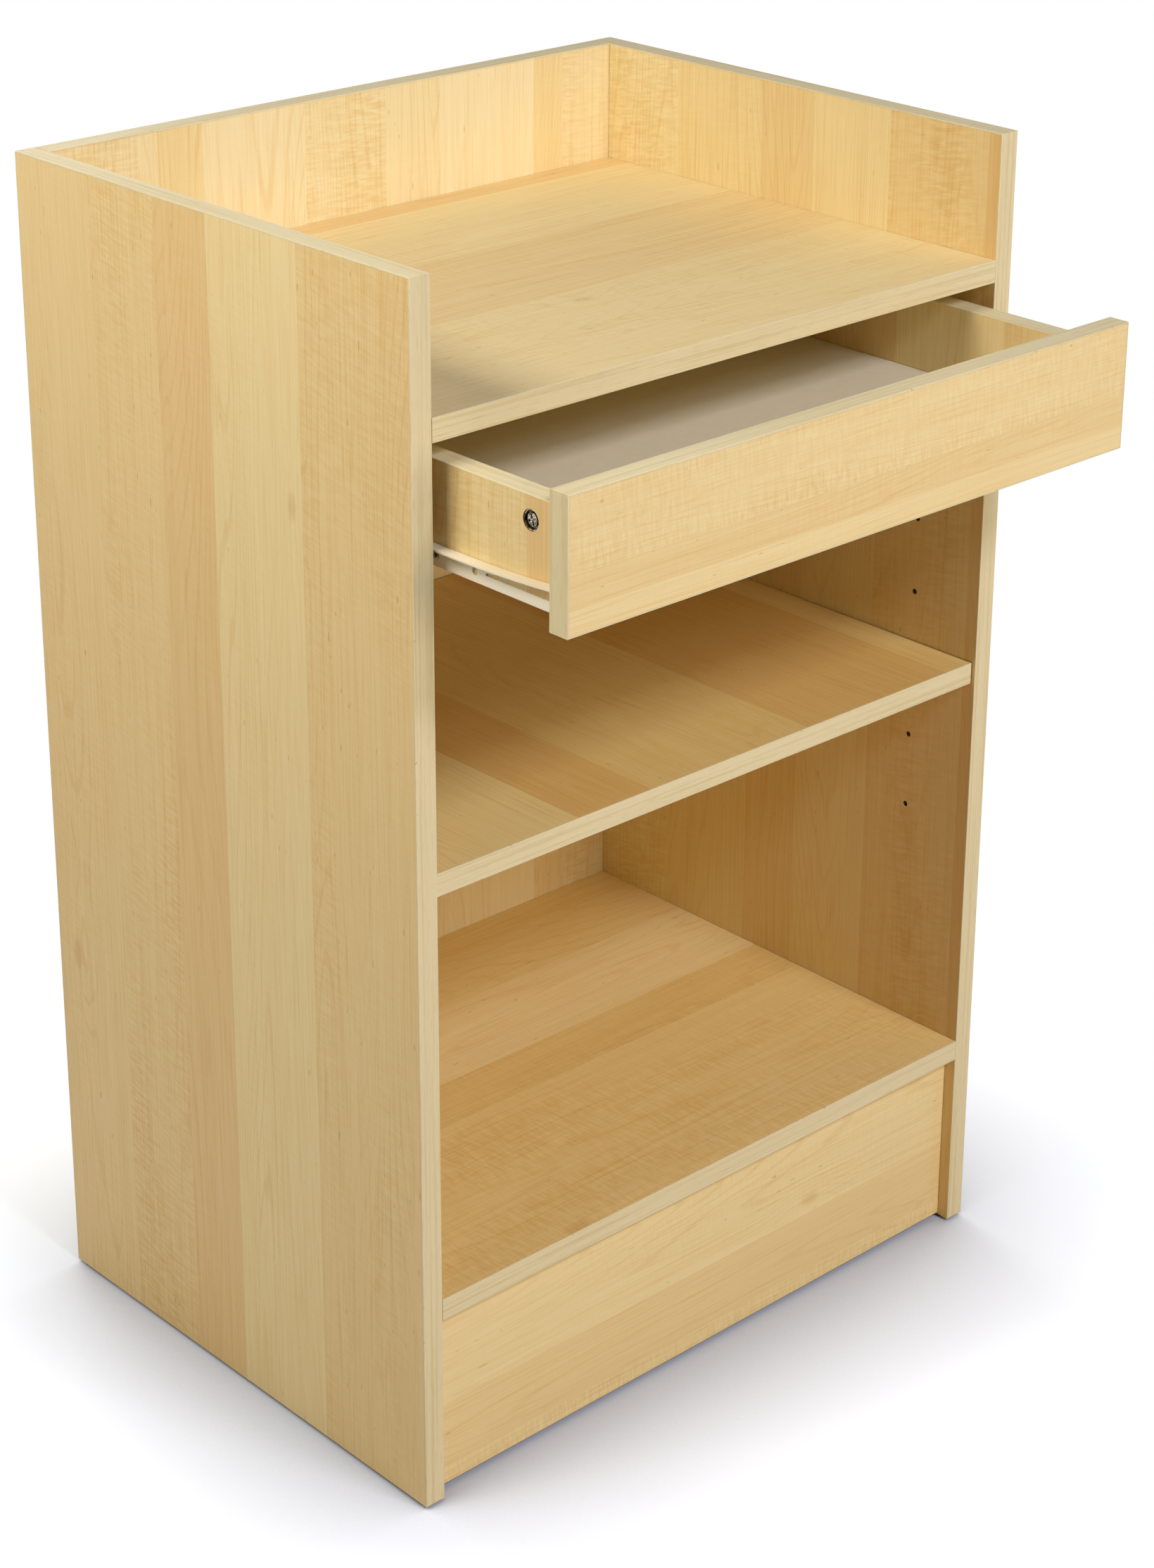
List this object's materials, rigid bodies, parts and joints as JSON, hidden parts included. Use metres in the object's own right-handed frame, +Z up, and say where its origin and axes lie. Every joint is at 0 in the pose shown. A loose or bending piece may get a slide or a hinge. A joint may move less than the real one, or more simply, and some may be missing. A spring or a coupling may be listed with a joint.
{
  "type": "cash wrap counter",
  "caption": "Free-standing shop till counter in maple laminate: raised rim round the counter, a drawer on roller slides, a loose shelf on pins and a bottom shelf over a kick plate.",
  "frame": {"origin": "on the floor, at the middle of the object's box at rest, which includes the drawer as it stands open", "axes": "+Z up; +Y from the clerk's open side to the back panel; +X to the right of a clerk who faces the open side"},
  "size_m": [0.61, 0.5896, 0.965],
  "materials": {
    "maple_laminate": "satin maple-print laminate on board",
    "maple_edge_band": "satin maple-print edge band",
    "drawer_floor_board": "pale grey-beige coated hardboard",
    "cream_coated_steel": "cream epoxy coat",
    "nylon": "moulded nylon",
    "zinc": "zinc-plated",
    "glide_plastic": "dark moulded plastic"
  },
  "bodies": {
    "carcass": {"left_side_panel": "maple_laminate", "right_side_panel": "maple_laminate", "back_panel": "maple_laminate", "counter_top": "maple_laminate", "bottom_shelf": "maple_laminate", "kick_plate": "maple_laminate", "left_side_edge_band": "maple_edge_band", "right_side_edge_band": "maple_edge_band", "back_panel_edge_band": "maple_edge_band", "counter_top_edge_band": "maple_edge_band", "bottom_shelf_edge_band": "maple_edge_band", "left_cabinet_rail": "cream_coated_steel", "right_cabinet_rail": "cream_coated_steel", "left_cabinet_axle": "zinc", "right_cabinet_axle": "zinc", "left_cabinet_rail_front_screw": "zinc", "left_cabinet_rail_rear_screw": "zinc", "right_cabinet_rail_front_screw": "zinc", "right_cabinet_rail_rear_screw": "zinc", "counter_left_front_cam_lock": "zinc", "counter_left_rear_cam_lock": "zinc", "counter_right_front_cam_lock": "zinc", "counter_right_rear_cam_lock": "zinc", "counter_left_front_cam_bolt": "zinc", "counter_left_rear_cam_bolt": "zinc", "counter_right_front_cam_bolt": "zinc", "counter_right_rear_cam_bolt": "zinc", "shelf_pin_left_front": "zinc", "shelf_pin_left_rear": "zinc", "shelf_pin_right_front": "zinc", "shelf_pin_right_rear": "zinc", "floor_glide_left_front": "glide_plastic", "floor_glide_left_rear": "glide_plastic", "floor_glide_right_front": "glide_plastic", "floor_glide_right_rear": "glide_plastic"},
    "drawer": {"drawer_front": "maple_laminate", "drawer_front_edge_band": "maple_edge_band", "drawer_left_side": "maple_laminate", "drawer_right_side": "maple_laminate", "drawer_back": "maple_laminate", "drawer_bottom": "drawer_floor_board", "drawer_left_cam_lock": "zinc", "drawer_right_cam_lock": "zinc", "drawer_left_cam_bolt": "zinc", "drawer_right_cam_bolt": "zinc", "left_drawer_rail": "cream_coated_steel", "right_drawer_rail": "cream_coated_steel", "left_drawer_axle": "zinc", "right_drawer_axle": "zinc", "left_drawer_rail_front_screw": "zinc", "left_drawer_rail_rear_screw": "zinc", "right_drawer_rail_front_screw": "zinc", "right_drawer_rail_rear_screw": "zinc"},
    "left_cabinet_roller": {"left_cabinet_roller": "nylon"},
    "right_cabinet_roller": {"right_cabinet_roller": "nylon"},
    "left_drawer_roller": {"left_drawer_roller": "nylon"},
    "right_drawer_roller": {"right_drawer_roller": "nylon"},
    "middle_shelf": {"middle_shelf": "maple_laminate", "middle_shelf_edge_band": "maple_edge_band"}
  },
  "joints": [
    {"name": "drawer_slide", "type": "slide", "parent": "carcass", "child": "drawer", "axis": [0, -1, 0], "range_m": [-0.1325, 0.1675]},
    {"name": "left_cabinet_roller_spin", "type": "hinge", "parent": "carcass", "child": "left_cabinet_roller", "pos_m": [-0.2817, -0.13025, 0.7596], "axis": [1, 0, 0], "continuous": true},
    {"name": "right_cabinet_roller_spin", "type": "hinge", "parent": "carcass", "child": "right_cabinet_roller", "pos_m": [0.2817, -0.13025, 0.7596], "axis": [1, 0, 0], "continuous": true},
    {"name": "left_drawer_roller_spin", "type": "hinge", "parent": "drawer", "child": "left_drawer_roller", "pos_m": [-0.2798, 0.11125, 0.7621], "axis": [1, 0, 0], "continuous": true},
    {"name": "right_drawer_roller_spin", "type": "hinge", "parent": "drawer", "child": "right_drawer_roller", "pos_m": [0.2798, 0.11125, 0.7621], "axis": [1, 0, 0], "continuous": true},
    {"name": "shelf_lift", "type": "slide", "parent": "carcass", "child": "middle_shelf", "axis": [0, 0, 1], "range_m": [0, 0.128]}
  ],
  "couplings": [
    {"joint": "left_cabinet_roller_spin", "follows": "drawer_slide", "rad_per_m": 111.11},
    {"joint": "right_cabinet_roller_spin", "follows": "drawer_slide", "rad_per_m": 111.11},
    {"joint": "left_drawer_roller_spin", "follows": "drawer_slide", "rad_per_m": 111.11},
    {"joint": "right_drawer_roller_spin", "follows": "drawer_slide", "rad_per_m": 111.11}
  ]
}
